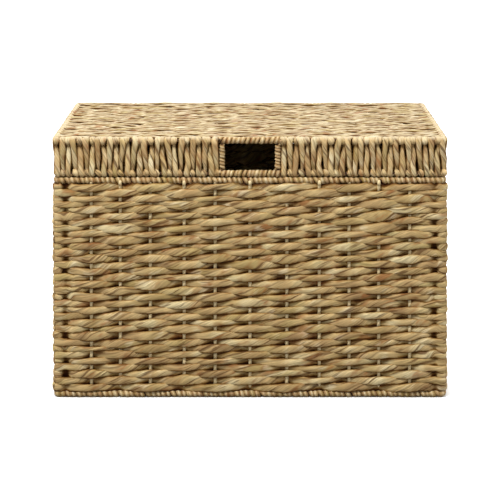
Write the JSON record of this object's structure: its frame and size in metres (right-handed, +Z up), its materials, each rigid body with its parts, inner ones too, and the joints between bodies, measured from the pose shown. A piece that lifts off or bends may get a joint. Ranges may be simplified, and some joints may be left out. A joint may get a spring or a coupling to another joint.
{
  "type": "woven lidded box",
  "caption": "Rectangular woven trunk of twisted plant strands on a rod frame, with a hinged lid, sides of upright strands and a framed hand opening.",
  "frame": {"origin": "on the ground under the middle of the box", "axes": "+X to the right seen from the front, +Y to the back where the lid is hinged, +Z up"},
  "size_m": [0.6116, 0.4118, 0.406],
  "materials": {
    "wall_strand": "dry twisted plant strands, matt",
    "lid_strand": "dry twisted plant strands, matt, a little paler",
    "winding_strand": "tightly wound twisted strand",
    "stake": "pale peeled cane, satin",
    "rod": "brown lacquered steel rod"
  },
  "bodies": {
    "root": {"body_frame": "rod", "long_stake_1": "stake", "long_stake_2": "stake", "long_stake_3": "stake", "long_stake_4": "stake", "long_stake_5": "stake", "long_stake_6": "stake", "long_stake_7": "stake", "long_stake_8": "stake", "long_stake_9": "stake", "long_stake_10": "stake", "long_stake_11": "stake", "cross_stake_1": "stake", "cross_stake_2": "stake", "cross_stake_3": "stake", "cross_stake_4": "stake", "cross_stake_5": "stake", "cross_stake_6": "stake", "cross_stake_7": "stake", "wall_weave_front": "wall_strand", "wall_weave_right": "wall_strand", "wall_weave_back": "wall_strand", "wall_weave_left": "wall_strand", "floor_weave": "wall_strand", "base_wrap_front": "winding_strand", "base_wrap_right": "winding_strand", "base_wrap_back": "winding_strand", "base_wrap_left": "winding_strand", "rim_wrap_front": "winding_strand", "rim_wrap_right": "winding_strand", "rim_wrap_left": "winding_strand", "rim_wrap_back_left": "winding_strand", "rim_wrap_back_middle": "winding_strand", "rim_wrap_back_right": "winding_strand"},
    "lid": {"lid_frame": "rod", "lid_stake_1": "stake", "lid_stake_2": "stake", "lid_stake_3": "stake", "lid_stake_4": "stake", "lid_stake_5": "stake", "lid_stake_6": "stake", "lid_stake_7": "stake", "lid_stake_8": "stake", "lid_stake_9": "stake", "lid_stake_10": "stake", "lid_stake_11": "stake", "lid_top_weave": "lid_strand", "lid_side_front_left": "lid_strand", "lid_side_front_right": "lid_strand", "lid_side_right": "lid_strand", "lid_side_back": "lid_strand", "lid_side_left": "lid_strand", "hand_wrap_bottom": "winding_strand", "hand_wrap_top": "winding_strand", "hand_wrap_left": "winding_strand", "hand_wrap_right": "winding_strand", "hinge_loop_left": "winding_strand", "hinge_loop_right": "winding_strand"}
  },
  "joints": [
    {"name": "lid_hinge", "type": "hinge", "parent": "root", "child": "lid", "pos_m": [0, 0.193, 0.33901], "axis": [-1, 0, 0], "range_deg": [0, 95]}
  ]
}
